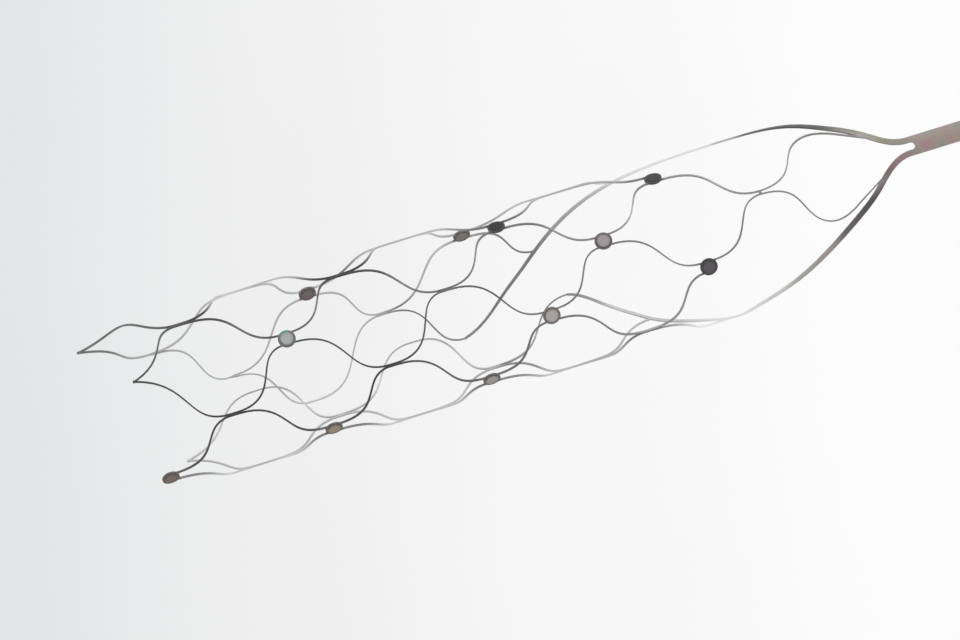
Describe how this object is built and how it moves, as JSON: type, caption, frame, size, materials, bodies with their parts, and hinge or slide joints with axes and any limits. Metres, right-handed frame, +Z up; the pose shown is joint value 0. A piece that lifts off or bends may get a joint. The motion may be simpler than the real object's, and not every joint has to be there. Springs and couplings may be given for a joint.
{
  "type": "clot retrieval stent",
  "caption": "Slim lattice tube stent, slit along its length, with two arms that meet in a flat shank and round marker discs set in eyelets of its struts.",
  "frame": {"origin": "on the tube's axis, in the plane of the foremost tips", "axes": "+X along the tube from the tips to the shank, +Z up, with the slit near the bottom and the shank near the top"},
  "size_m": [0.0324, 0.006, 0.006],
  "materials": {
    "frame_metal": "dark satin oxide, electropolished",
    "marker_metal": "satin"
  },
  "bodies": {
    "root": {"lattice_frame": "frame_metal", "marker_disc_01": "marker_metal", "marker_disc_02": "marker_metal", "marker_disc_03": "marker_metal", "marker_disc_04": "marker_metal", "marker_disc_05": "marker_metal", "marker_disc_06": "marker_metal", "marker_disc_07": "marker_metal", "marker_disc_08": "marker_metal", "marker_disc_09": "marker_metal", "marker_disc_10": "marker_metal", "marker_disc_11": "marker_metal"}
  },
  "joints": []
}
